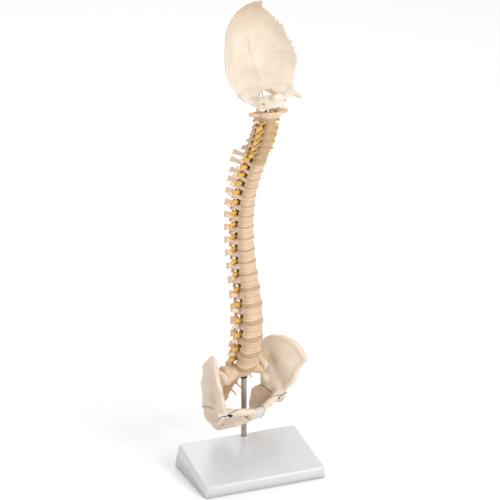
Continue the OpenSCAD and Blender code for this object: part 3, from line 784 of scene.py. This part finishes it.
def occiput_field(p):
    x, y, z = p
    q = (np.abs(x), y, z)
    deep = occiput_depth(z)
    angle = np.arctan2(x / OCCIPUT_HALF, np.maximum(y, 0.01) / deep)
    radius = np.sqrt((x / OCCIPUT_HALF) ** 2 + (y / deep) ** 2) + 1e-6
    lean = np.interp(z, LEAN_AT, LEAN) * np.clip(y / deep, 0, 1)
    out = np.hypot(x, y) * (1 - 1 / radius) / np.sqrt(1 + lean * lean)
    ridge = 1.8 * np.exp(-((x / 2.4) ** 2)) * np.clip((z - 36) / 8, 0, 1) * np.clip((112 - z) / 16, 0, 1)
    low = z - 72 - 0.09 * x
    cross = 1.3 * np.exp(-((low / 2.0) ** 2)) + 0.9 * np.exp(-(((low + 7) / 1.8) ** 2)) * np.clip(x / 12, 0, 1)
    cross = cross * np.clip(np.abs(x) / 10, 0.2, 1)
    bump = 1.8 * np.exp(-((x / 6) ** 2 + ((z - 72) / 7) ** 2))
    wave = 0.5 * np.sin(x * 0.21 + 1) * np.sin(z * 0.17)
    shell = np.maximum(out, -out - 3.3 - ridge - cross - bump - wave)
    edge = SQUAMA.look(SQUAMA.edge, OCCIPUT_HALF * angle, z)
    f = blend_max(shell, edge, 1.0)
    f = blend_max(f, -y, 0.5)
    # lower parts round the foramen
    lower = None
    for a, b, c in (((4, 22, 32), (26, 21, 32), (20, 8, 19)), ((26, 21, 32), (40, 13, 30), (20, 8, 19)),
                    ((40, 13, 30), (38, 6, 24), (20, 5, 18))):
        part = sheet(q, a, b, c, 2.0)
        lower = part if lower is None else blend_min(lower, part, 3)
    lower = grow(lower, p, (((38, 8, 25), (45, -3, 20.5)), ((4, 4, 4.6), (2.2, 2.4, 3.0)), 4.0))
    lower = grow(
        lower, q,
        (((24, 8, 20.5), (17, -1, 20.5), (9, -7.5, 22.5), (0, -10, 23)),
         ((5, 6, 5.5), (5, 5.5, 7.5), (6, 4.4, 9.6), (7, 4.4, 10.4)), 3, 3),
        (((0, -11, 25), (0, -19, 32)), ((9.5, 3.4, 5), (7.5, 3.4, 4.5)), 3),
        (((14.5, -2.5, 12.2), (13.0, 5.5, 11.8)), ((6.5, 4.6, 3.8), (5.5, 4.6, 3.8)), 2.5))
    canal = limb(q, (8, -2, 22), (24, -14, 19), 1.5)
    lower = blend_max(lower, -canal, 0.6)
    f = blend_min(f, lower, 4.0)
    hole = path(p, [(0, 4, 8), (0, 6, 22), (0, 8, 40)], [(10, 11, 6), (12.0, 13.5, 6), (11, 14, 6)])
    return blend_max(f, -hole, 1.5)


# ---------------------------------------------------------------- meshes from fields
BLOCK, CHUNK = 4, 200000  # cells along a coarse block, and points worked out at a time


def sample(field, low, high, cell):
    """The field on a grid, worked out finely only near its surface."""
    low = np.array(low, float) - 2 * cell
    blocks = np.ceil((np.array(high) + 2 * cell - low) / (cell * BLOCK)).astype(int) + 1
    index = np.stack(np.meshgrid(*(np.arange(b) for b in blocks), indexing="ij"), -1).reshape(-1, 3)
    centres = low + (index * BLOCK + (BLOCK - 1) / 2) * cell
    coarse = field(tuple(centres.T)).reshape(blocks)
    grid = coarse.repeat(BLOCK, 0).repeat(BLOCK, 1).repeat(BLOCK, 2).astype(np.float32)
    near = np.argwhere(np.abs(coarse) < BLOCK * cell * 1.9)
    offsets = np.stack(np.meshgrid(*[np.arange(BLOCK)] * 3, indexing="ij"), -1).reshape(-1, 3)
    fine = (near[:, None] * BLOCK + offsets).reshape(-1, 3)
    for part in np.array_split(fine, max(1, len(fine) // CHUNK)):
        grid[tuple(part.T)] = field(tuple((low + part * cell).T))
    return grid, low


def surface_net(grid):
    """One vertex in each cell that the grid's zero level crosses, and the quads between them."""
    inside = grid < 0
    corners = [(i, j, k) for i in (0, 1) for j in (0, 1) for k in (0, 1)]
    shape = np.array(grid.shape) - 1

    def part(values, c):
        return values[c[0]:c[0] + shape[0], c[1]:c[1] + shape[1], c[2]:c[2] + shape[2]]

    count = sum(part(inside, c).astype(np.int8) for c in corners)
    cells = np.argwhere((count > 0) & (count < 8))
    ids = np.full(tuple(shape), -1, np.int64)
    ids[tuple(cells.T)] = np.arange(len(cells))
    value = {c: grid[tuple((cells + c).T)] for c in corners}
    total, hits = np.zeros((len(cells), 3)), np.zeros(len(cells))
    for a in corners:
        for axis in range(3):
            if a[axis]:
                continue
            b = tuple(v + (i == axis) for i, v in enumerate(a))
            crossing = (value[a] < 0) != (value[b] < 0)
            t = np.where(crossing, value[a] / np.where(crossing, value[a] - value[b], 1), 0)
            point = np.array(a, float)[None] + t[:, None] * np.eye(3)[axis]
            total += np.where(crossing[:, None], point, 0)
            hits += crossing
    vertices = cells + total / hits[:, None]
    faces = []
    one = np.eye(3, dtype=int)
    for axis in range(3):
        u, v = (axis + 1) % 3, (axis + 2) % 3
        start = inside[tuple(slice(0, -1) if i == axis else slice(1, -1) for i in range(3))]
        end = inside[tuple(slice(1, None) if i == axis else slice(1, -1) for i in range(3))]
        at = np.argwhere(start != end) + one[u] + one[v]
        at_inside = inside[tuple(at.T)]
        ring = np.stack([ids[tuple((at - one[u] * a - one[v] * b).T)]
                         for a, b in ((1, 1), (0, 1), (0, 0), (1, 0))], 1)
        faces.append(np.where(at_inside[:, None], ring, ring[:, ::-1]))
    return vertices, np.concatenate(faces)


def face_edges(faces):
    return np.concatenate([faces[:, [i, (i + 1) % 4]] for i in range(4)])


def relax(points, edges, share):
    total = np.zeros_like(points)
    count = np.zeros(len(points))
    for a, b in ((0, 1), (1, 0)):
        np.add.at(total, edges[:, a], points[edges[:, b]])
        np.add.at(count, edges[:, a], 1)
    return points + share * (total / np.maximum(count, 1)[:, None] - points)


def gradient(field, points, step):
    here = field(tuple(points.T))
    slope = np.stack([field(tuple((points + step * e).T)) - here for e in np.eye(3)], -1) / step
    return here, slope


def field_mesh(field, low, high, cell, smooth=0):
    """Vertices, quads and the painted shade of each place, darker where the surface is hemmed in like ambient
    occlusion, for the field's surface.
    """
    cell = cell * 1.0
    grid, origin = sample(field, low, high, cell)
    points, faces = surface_net(grid)
    points = origin + points * cell
    edges = face_edges(faces)
    for _ in range(2):
        points = relax(points, edges, 0.5)
        here, slope = gradient(field, points, 0.1 * cell)
        shift = np.clip(here / ((slope ** 2).sum(-1) + 0.05), -0.6 * cell, 0.6 * cell)
        points = points - shift[:, None] * slope
    for _ in range(smooth):
        points = relax(points, edges, 0.4)
    here, slope = gradient(field, points, 0.1 * cell)
    normal = slope / (np.linalg.norm(slope, axis=1)[:, None] + 1e-6)
    painted_shade = np.zeros(len(points))
    # painted shade in creases and recesses: the field sampled 1.5 and 3.5 mm out along the normal
    for reach in (1.5, 3.5):
        painted_shade += 0.5 * np.clip(1.15 - field(tuple((points + normal * reach).T)) / reach, 0, 1)
    return points, faces, relax(painted_shade[:, None].repeat(3, 1), edges, 0.5)[:, 0]


def make(name, points, faces, material, slot, attributes=None, sharp=None):
    """A smooth-shaded object from points in millimetres in the row frame."""
    mesh = bpy.data.meshes.new(name)
    mesh.from_pydata((np.asarray(points) * MM).tolist(), [], [list(map(int, f)) for f in faces])
    mesh.validate()
    mesh.polygons.foreach_set("use_smooth", [True] * len(mesh.polygons))
    for key, values in (attributes or {}).items():
        data = mesh.attributes.new(key, "FLOAT", "POINT").data
        data.foreach_set("value", np.asarray(values, np.float32))
    if sharp is not None:
        mesh.set_sharp_from_angle(angle=math.radians(sharp))
    mesh.materials.append(material)
    made = bpy.data.objects.new(name, mesh)
    scene.collection.objects.link(made)
    return made


def mirrored(points, faces):
    """The same mesh on the right side."""
    return points * [-1, 1, 1], faces[:, ::-1]


# ---------------------------------------------------------------- column
def painted_body_shade(n, points):
    """Painted shade on a vertebral body: darker in the grooves by its growth plates and towards the middle of
    its height, on its front and sides, with the neck's vertebrae darker all over.
    """
    _, h, s = level(n)
    u = np.abs(points[:, 2]) / (h / 2)
    lines = 0.62 * growth_line(u) + 0.2 * np.clip(np.cos(u * RIPPLES), 0, 1) + 0.34 * (u < 0.5) * (1 - u)
    return (0.25 if n < C7 else 0.62) + lines * np.clip((s["body_d"] * 0.3 - points[:, 1]) / 3, 0, 1)


LUMBAR_CELL, CELL = 0.85, 0.72  # size of the cells that vertebrae are meshed with


def vertebra_bounds(n):
    _, h, s = level(n)
    tall = h / 2 + size("disc_t", n + 1) / 2 + 4
    wide = max(s["process_l"], s["body_w"] / 2) + 2
    low = (-wide, -s["body_d"] / 2 - 2, -max(tall, s["spine_drop"] + h * 0.32 + 3))
    return low, (wide, s["spine_p"] + SPINE_TRIM.get(n, 0) + 3, tall + (12 if n == TOP else 0))


for n in range(TOP + 1):
    place = level(n)[0]
    cell = LUMBAR_CELL if n < LUMBAR else CELL
    points, faces, painted_shade = field_mesh(vertebra_field(n), *vertebra_bounds(n), cell)
    # painted shade of the body's grooves, over the painted shade of its hollows
    painted_shade = np.maximum(painted_shade, painted_body_shade(n, points))
    piece = make(f"vertebra_{NAMES[n]}", place.out(points), faces, BONE, "bone", {"painted_shade": painted_shade})
    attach(piece, NAMES[n])
    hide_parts(NAMES[n])

points, faces, painted_shade = field_mesh(atlas_field, (-32, -14, -5), (32, 30, 9), 0.7)
# the whole atlas darkened by painted shade to at least half strength
piece = make("atlas", NECK.out(points), faces, BONE, "bone", {"painted_shade": np.maximum(painted_shade, 0.5)})
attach(piece, "C1")
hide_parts("C1")


def bands(count, rings, wrap=False):
    """Quads between rings of points of equal length, and from the last to the first if they wrap."""
    quads = []
    for r in range(rings if wrap else rings - 1):
        low, high = r * count, (r + 1) % rings * count
        quads += [(low + i, low + (i + 1) % count, high + (i + 1) % count, high + i) for i in range(count)]
    return quads


def loft(rings):
    """Closed mesh through rings of equal length, with a fan at both ends."""
    count = len(rings[0])
    points = np.concatenate([*rings, [rings[0].mean(0)], [rings[-1].mean(0)]])
    faces = bands(count, len(rings))
    last, low, high = (len(rings) - 1) * count, len(points) - 2, len(points) - 1
    for i in range(count):
        j = (i + 1) % count
        faces += [(low, j, i), (high, last + i, last + j)]
    return points, faces


DISC_SIDES, DISC_RINGS = 64, 6
for n in range(TOP + 1):
    place, h, sizes = level(n)
    below, below_h, below_sizes = level(n - 1) if n else (S1, -2 * S1_DROP, sizes)
    base_x, base_y = body_outline(*swollen(below_sizes["body_w"], below_sizes["body_d"], n - 1), DISC_SIDES)
    top_x, top_y = body_outline(*swollen(sizes["body_w"], sizes["body_d"], n), DISC_SIDES)
    ends = (below, base_x, base_y, below_h / 2), (place, top_x, top_y, -h / 2)

    def ring(s):
        swell = 0.955 + 0.02 * (1 - (2 * s - 1) ** 4)
        low, high = (where.out(np.stack([x * swell, y * swell - BODY_SHIFT, np.full(DISC_SIDES, z)], -1))
                     for where, x, y, z in ends)
        return low + (high - low) * s

    middle, across = UNDER[n], (place.out((0, 0, -h / 2)) - below.out((0, 0, below_h / 2)))
    lower_body, disc_body = NAMES[n - 1] if n else "pelvis", "disc_body_" + NAMES[n]
    for half, start, bodies in (("lower", 0.0, (lower_body, disc_body)), ("upper", 0.5, (disc_body, NAMES[n]))):
        heights = start + 0.5 * np.arange(DISC_RINGS) / (DISC_RINGS - 1)
        points, faces = loft([ring(s) for s in heights])
        marks = np.append(np.repeat(heights, DISC_SIDES), [heights[0], heights[-1]])
        piece = make(f"disc_{NAMES[n]}_{half}", points, faces, DISC, "disc", {"level": marks * 3}, 50)
        node = f"disc_{NAMES[n]}_{NAMES[n - 1] if n else 'S1'}"
        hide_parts(node)
        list(bodies)
        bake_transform(piece)


CAP = 0.25  # how far a tube's end ring is out, and how much smaller it is, over the radius


def tube(line, radii, sides, flat=1.0):
    """A round or flat tube along a line, with rounded ends."""
    line, radii = np.array(line, float), np.array(radii, float)
    along = np.gradient(line, axis=0)
    along /= np.linalg.norm(along, axis=1)[:, None]
    side = np.cross(along, [0.13, 0.2, 1.0])
    side /= np.linalg.norm(side, axis=1)[:, None]
    up = np.cross(side, along)
    a = np.arange(sides) * 2 * np.pi / sides
    rings = [line[i] + radii[i] * (np.cos(a)[:, None] * side[i] + flat * np.sin(a)[:, None] * up[i])
             for i in range(len(line))]
    rings = [line[0] - along[0] * radii[0] * CAP + (rings[0] - line[0]) * (1 - CAP), *rings,
             line[-1] + along[-1] * radii[-1] * CAP + (rings[-1] - line[-1]) * (1 - CAP)]
    points, faces = loft(rings)
    return points, [f[::-1] for f in faces]


CORE_GAP, CORE_LAP = 1.6, 0.4  # gap between core and canal, and how far two levels' cores overlap the joint
CORE_RINGS = 7

for n in range(TOP + 1):
    place, h, sizes = level(n)
    low = -h / 2 - size("disc_t", n) / 2 - CORE_LAP if n else -4
    high = h / 2 + size("disc_t", n + 1) / 2 + CORE_LAP if n < TOP else h / 2 + 14
    line = [(0, sizes["canal_y"], z) for z in np.linspace(low, high, CORE_RINGS)]
    wide, deep = sizes["canal_w"] / 2 - CORE_GAP, sizes["canal_d"] / 2 - CORE_GAP
    if n == TOP:  # round and thin, so that the head can turn and nod on it
        wide = deep = min(wide, deep) * 0.72
    points, faces = tube(line, [wide] * CORE_RINGS, 20, deep / wide)
    points = place.out(points)
    # the core darkened all over by painted shade, as it lies in the shade of the canal
    piece = make(f"core_{NAMES[n]}", points, faces, NERVE, "nerve", {"painted_shade": np.full(len(points), 0.72)})
    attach(piece, NAMES[n])
    if n == 0:
        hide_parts("flexible_core")


def joined(parts):
    """Several meshes, each of points and faces, as one."""
    points, faces, at = [], [], 0
    for p, f in parts:
        points.append(p)
        faces += [tuple(v + at for v in face) for face in f]
        at += len(p)
    return np.concatenate(points), faces


def nerve_line(n):
    """Where the left nerve of a disc runs, and how thick it is, from the core outwards."""
    sizes = level(n)[2]
    edge, cy = sizes["canal_w"] / 2, sizes["canal_y"]
    if n < LUMBAR:
        return ((2.5, cy - 1, 2.5), (edge, cy - 3.0, 0.8), (edge + 5, cy - 3.6, 0.2),
                (edge + 12.5, cy - 3.2, 0.6)), (2.0, 2.6, 3.1, 2.5)
    if n <= C7:
        return ((2.5, cy - 1, 1.5), (edge, cy - 2.5, 0.3), (edge + 3.5, cy - 2.6, -0.8),
                (edge + 9.0, cy - 0.6, -3.2)), (1.7, 2.3, 2.8, 2.0)
    return ((2.5, cy - 1, 1.0), (edge - 1, cy - 4, 0.4), (edge + 3, cy - 7, -0.8),
            (edge + 10.5, cy - 9.5, -2.8)), (1.2, 1.9, 2.5, 1.8)


NERVE_SIDES = 16
for n in range(TOP + 1):
    place, h, _ = level(n)
    line, radii = nerve_line(n)
    line = smooth_line(line, 5)
    radii = np.interp(np.linspace(0, len(radii) - 1, len(line)), range(len(radii)), radii)
    centre = np.array([0, 0, -h / 2 - size("disc_t", n) / 2 + (4 if n == 0 else 1.0 if n < LUMBAR else 0.5)])
    radii = radii * (1.3 if n > C7 else 1.1)
    points, faces = joined([tube(place.out(line * [side, 1, 1] + centre), radii, NERVE_SIDES)
                            for side in (1, -1)])
    # painted shade on each nerve: full at its root in the foramen, fading to none about two thirds of the way
    # out
    root_shade = np.clip(1.5 - 2.2 * np.linspace(0, 1, len(line)), 0, 1)
    marks = np.append(np.repeat([root_shade[0], *root_shade, 0.0], NERVE_SIDES), [root_shade[0], 0.0])  # end rings, end points
    piece = make(f"nerve_{NAMES[n]}", points, faces, NERVE, "nerve", {"painted_shade": np.tile(marks, 2)}, 50)
    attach(piece, "disc_body_" + NAMES[n])
    if n == 0:
        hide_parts("spinal_nerves")


# ---------------------------------------------------------------- pelvis
points, faces, painted_shade = field_mesh(sacrum_field, (-36, -20, 76), (36, 52, 163), 0.85)
# the whole sacrum darkened by painted shade to at least half strength, for the shade inside the pelvis
piece = make("sacrum", SKELETON.out(points), faces, BONE, "bone", {"painted_shade": np.maximum(painted_shade, 0.5)})
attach(piece, "pelvis")
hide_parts("sacrum_and_coccyx")


def inner_shade(points, faces):
    """How far each place looks in towards the birth canal, where painted shade darkens the inner faces of the
    pelvis.
    """
    normals = np.zeros_like(points)
    cross = np.cross(points[faces[:, 2]] - points[faces[:, 0]], points[faces[:, 3]] - points[faces[:, 1]])
    for i in range(4):
        np.add.at(normals, faces[:, i], cross)
    normals /= np.linalg.norm(normals, axis=1)[:, None] + 1e-9
    inward = np.clip(-normals[:, 0] * 1.2 - 0.25 * normals[:, 2], 0, 1)
    return 0.55 * inward * np.clip((points[:, 1] + 16) / 10, 0, 1)


for key, field, low, high, material, slot, cell, smooth in (
        ("ilium", ilium_field, (26, -50, 86), (90, 54, 184), HIP_BONE, "bone", 0.95, 1),
        ("ischiopubis", ischiopubis_field, (2, -42, 48), (84, 34, 112), HIP_BONE, "bone", 0.85, 0),
        ("growth_plate", seam_field, (30, -40, 76), (84, 34, 116), BLACK, "bush", 0.6, 0)):
    left, faces, painted_shade = field_mesh(field, low, high, cell, smooth)
    if key == "ischiopubis":
        # painted shade on the inner faces of the ischium and pubis
        painted_shade = np.maximum(painted_shade, inner_shade(left, faces))
    for side in ("left", "right"):
        points, turned = (left, faces) if side == "left" else mirrored(left, faces)
        piece = make(f"{key}_{side}", SKELETON.out(points), turned, material, slot, {"painted_shade": painted_shade})
        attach(piece, "pelvis")
        if key != "growth_plate":
            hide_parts(f"{key}_{side}")

points, faces, painted_shade = field_mesh(symphysis_field, (-8, -40, 68), (8, -20, 96), 0.6)
piece = make("symphysis", SKELETON.out(points), faces, GRISTLE, "cartilage", {"painted_shade": painted_shade})
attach(piece, "pelvis")
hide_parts("pubic_symphysis")

parts = []
for x, y, z in SACRAL_HOLES:
    for side in (1, -1):
        start = np.array([x, y + 2, z + 0.5])
        line = smooth_line([start, start + [0.4, -5, -1.6], start + [0.8, -10.5, -5.0]], 4)
        parts.append(tube(SKELETON.out(line * [side, 1, 1]), np.linspace(1.2, 0.95, len(line)), 12))
points, faces = joined(parts)
# the sacral nerves darkened very slightly all over by painted shade
piece = make("sacral_nerves", points, faces, NERVE, "nerve", {"painted_shade": np.full(len(points), 0.12)}, 50)
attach(piece, "pelvis")

# ---------------------------------------------------------------- head
points, faces, painted_shade = field_mesh(occiput_field, (-62, -26, 5), (62, 70, 156), 0.9)
# painted shade, at least 0.2 all over and darker towards the top
painted_shade = np.maximum(painted_shade, 0.2 + 0.5 * np.clip((points[:, 2] - 80) / 60, 0, 1))
piece = make("occiput", HEAD.out(points), faces, SKULL, "bone", {"painted_shade": painted_shade})
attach(piece, "head")
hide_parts("occipital_bone")

HEAD_NERVES = (  # points, and the radius at either end
    (((6, 14, 33), (10, 7, 29), (14, -1.5, 26.5), (20, -6.5, 20)), (1.1, 1.1)),
    (((-6, 13, 31), (-10, 6, 28), (-14, -2.5, 25), (-20, -6, 19)), (0.9, 0.9)),
    (((-13, -2, 23), (-15.5, -5.5, 22), (-17.5, -8, 20.5)), (2.2, 1.8)),
    (((13, -2, 23), (15.5, -5.5, 22), (17.5, -8, 20.5)), (2.0, 1.6)))
parts = []
for line, ends in HEAD_NERVES:
    line = smooth_line(line, 6)
    parts.append(tube(HEAD.out(line), np.linspace(*ends, len(line)), 12))
points, faces = joined(parts)
# the nerves under the head darkened slightly all over by painted shade
piece = make("head_nerves", points, faces, NERVE, "nerve", {"painted_shade": np.full(len(points), 0.25)}, 50)
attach(piece, "head")


# ---------------------------------------------------------------- stand
TURNED = 48  # sides of what is turned about the rod's axis


def circles(profile):
    """Rings of points about the rod's axis, from (radius, height) pairs."""
    a = np.arange(TURNED) * 2 * np.pi / TURNED
    return [np.stack([ROD_XY[0] + r * np.cos(a), ROD_XY[1] + r * np.sin(a), np.full(TURNED, z)], -1)
            for r, z in profile]


ROD_BOX = np.array(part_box("stand_rod")) / MM
ROD_XY = ROD_BOX[:, :2].mean(0)
ROD_R = (ROD_BOX[1, 0] - ROD_BOX[0, 0]) / 2
CHAMFER = 0.6
rod_low, rod_high = ROD_BOX[:, 2]
profile = [(ROD_R - CHAMFER, rod_low), (ROD_R, rod_low + CHAMFER),
           *((ROD_R, z) for z in np.linspace(rod_low + 10, rod_high - 8, 8)),
           (ROD_R, rod_high - 1), (ROD_R - 0.7, rod_high)]
piece = make("rod", *loft(circles(profile)), ROD, "rod_steel", None, 35)
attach(piece, "rod")
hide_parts("stand_rod")

SLEEVE = 5.5  # how far the bush's sleeve shows under the sacrum
BUSH_BOX = np.array(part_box("rod_bush")) / MM
bush_r, bush_low, bush_high = (BUSH_BOX[1, 0] - BUSH_BOX[0, 0]) / 2, BUSH_BOX[0, 2], BUSH_BOX[1, 2]
bore_r = ROD_R + 0.08  # a running fit on the rod
sleeve_r, sleeve_low = bush_r - 0.9, bush_low - SLEEVE
rounds = [(bore_r, sleeve_low + 0.4), (bore_r + 0.4, sleeve_low), (sleeve_r - 0.4, sleeve_low),
          (sleeve_r, sleeve_low + 0.4), (sleeve_r, bush_low), (bush_r, bush_low + 0.3),
          (bush_r, bush_high - 0.5), (bush_r - 0.5, bush_high), (bore_r + 0.3, bush_high),
          (bore_r, bush_high - 0.3)]
points, faces = np.concatenate(circles(rounds)), bands(TURNED, len(rounds), True)
piece = make("bush", points, faces, BLACK, "bush", None, 40)
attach(piece, "pelvis")
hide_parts("rod_bush")

SHELL_BOX = np.array(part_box("base_shell")) / MM
(x0, y0, _), (x1, y1, boss_top) = SHELL_BOX
LIP, RIDGE, RIDGE_IN, EDGE_R = 15.0, 35.0, 11.5, 2.6
LEAN_IN, WALL = 1.2, 3  # how far the base's ends lean in at the ridge, and its wall
outline = [(y0, 0.6), (y0 + 1, LIP), (y1 - RIDGE_IN, RIDGE), (y1, 0.6)]
points = [(x, y, z) for x in (x0, x1) for y, z in outline]
for i, (x, y, z) in enumerate(points):
    points[i] = (x + (1 if x < 0 else -1) * LEAN_IN * z / RIDGE, y, z)
faces = [(0, 1, 5, 4), (1, 2, 6, 5), (2, 3, 7, 6), (0, 3, 2, 1), (4, 5, 6, 7)]
piece = make("base", points, faces, PLASTIC, "base_plastic")
bevel = piece.modifiers.new("bevel", "BEVEL")
bevel.width, bevel.segments, bevel.limit_method, bevel.use_clamp_overlap = EDGE_R * MM, 5, "ANGLE", False
bevel.angle_limit = math.radians(20)
wall = piece.modifiers.new("wall", "SOLIDIFY")
wall.thickness, wall.offset = WALL * MM, -1.0
bpy.context.view_layer.update()
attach(piece, "stand")
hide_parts("base_shell")

top = RIDGE - 3.6
profile = [(13.5, top - 1.2), (12.6, top - 0.1), (10.4, top + 1.2), (8.4, top + 2.8), (6.9, boss_top - 1.0),
           (6.3, boss_top - 0.2), (5.6, boss_top)]
piece = make("rod_collar", *loft(circles(profile)), PLASTIC, "base_plastic", None, 60)
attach(piece, "stand")

plate = frame["nodes"]["base_plate"]
plate.data.materials.clear()
plate.data.materials.append(PLATE)

FLOOR = 30.0  # half the floor's width, in metres
floor = bpy.data.objects.new("floor", bpy.data.meshes.new("floor"))
scene.collection.objects.link(floor)
floor.data.from_pydata([(-FLOOR, -FLOOR, 0), (FLOOR, -FLOOR, 0), (FLOOR, FLOOR, 0), (-FLOOR, FLOOR, 0)], [],
                       [(0, 1, 2, 3)])
paper = bpy.data.materials.new("paper")
paper.use_nodes = True
paper.node_tree.nodes["Principled BSDF"].inputs["Base Color"].default_value = (0.93, 0.93, 0.93, 1)
paper.node_tree.nodes["Principled BSDF"].inputs["Roughness"].default_value = 0.9
floor.data.materials.append(paper)
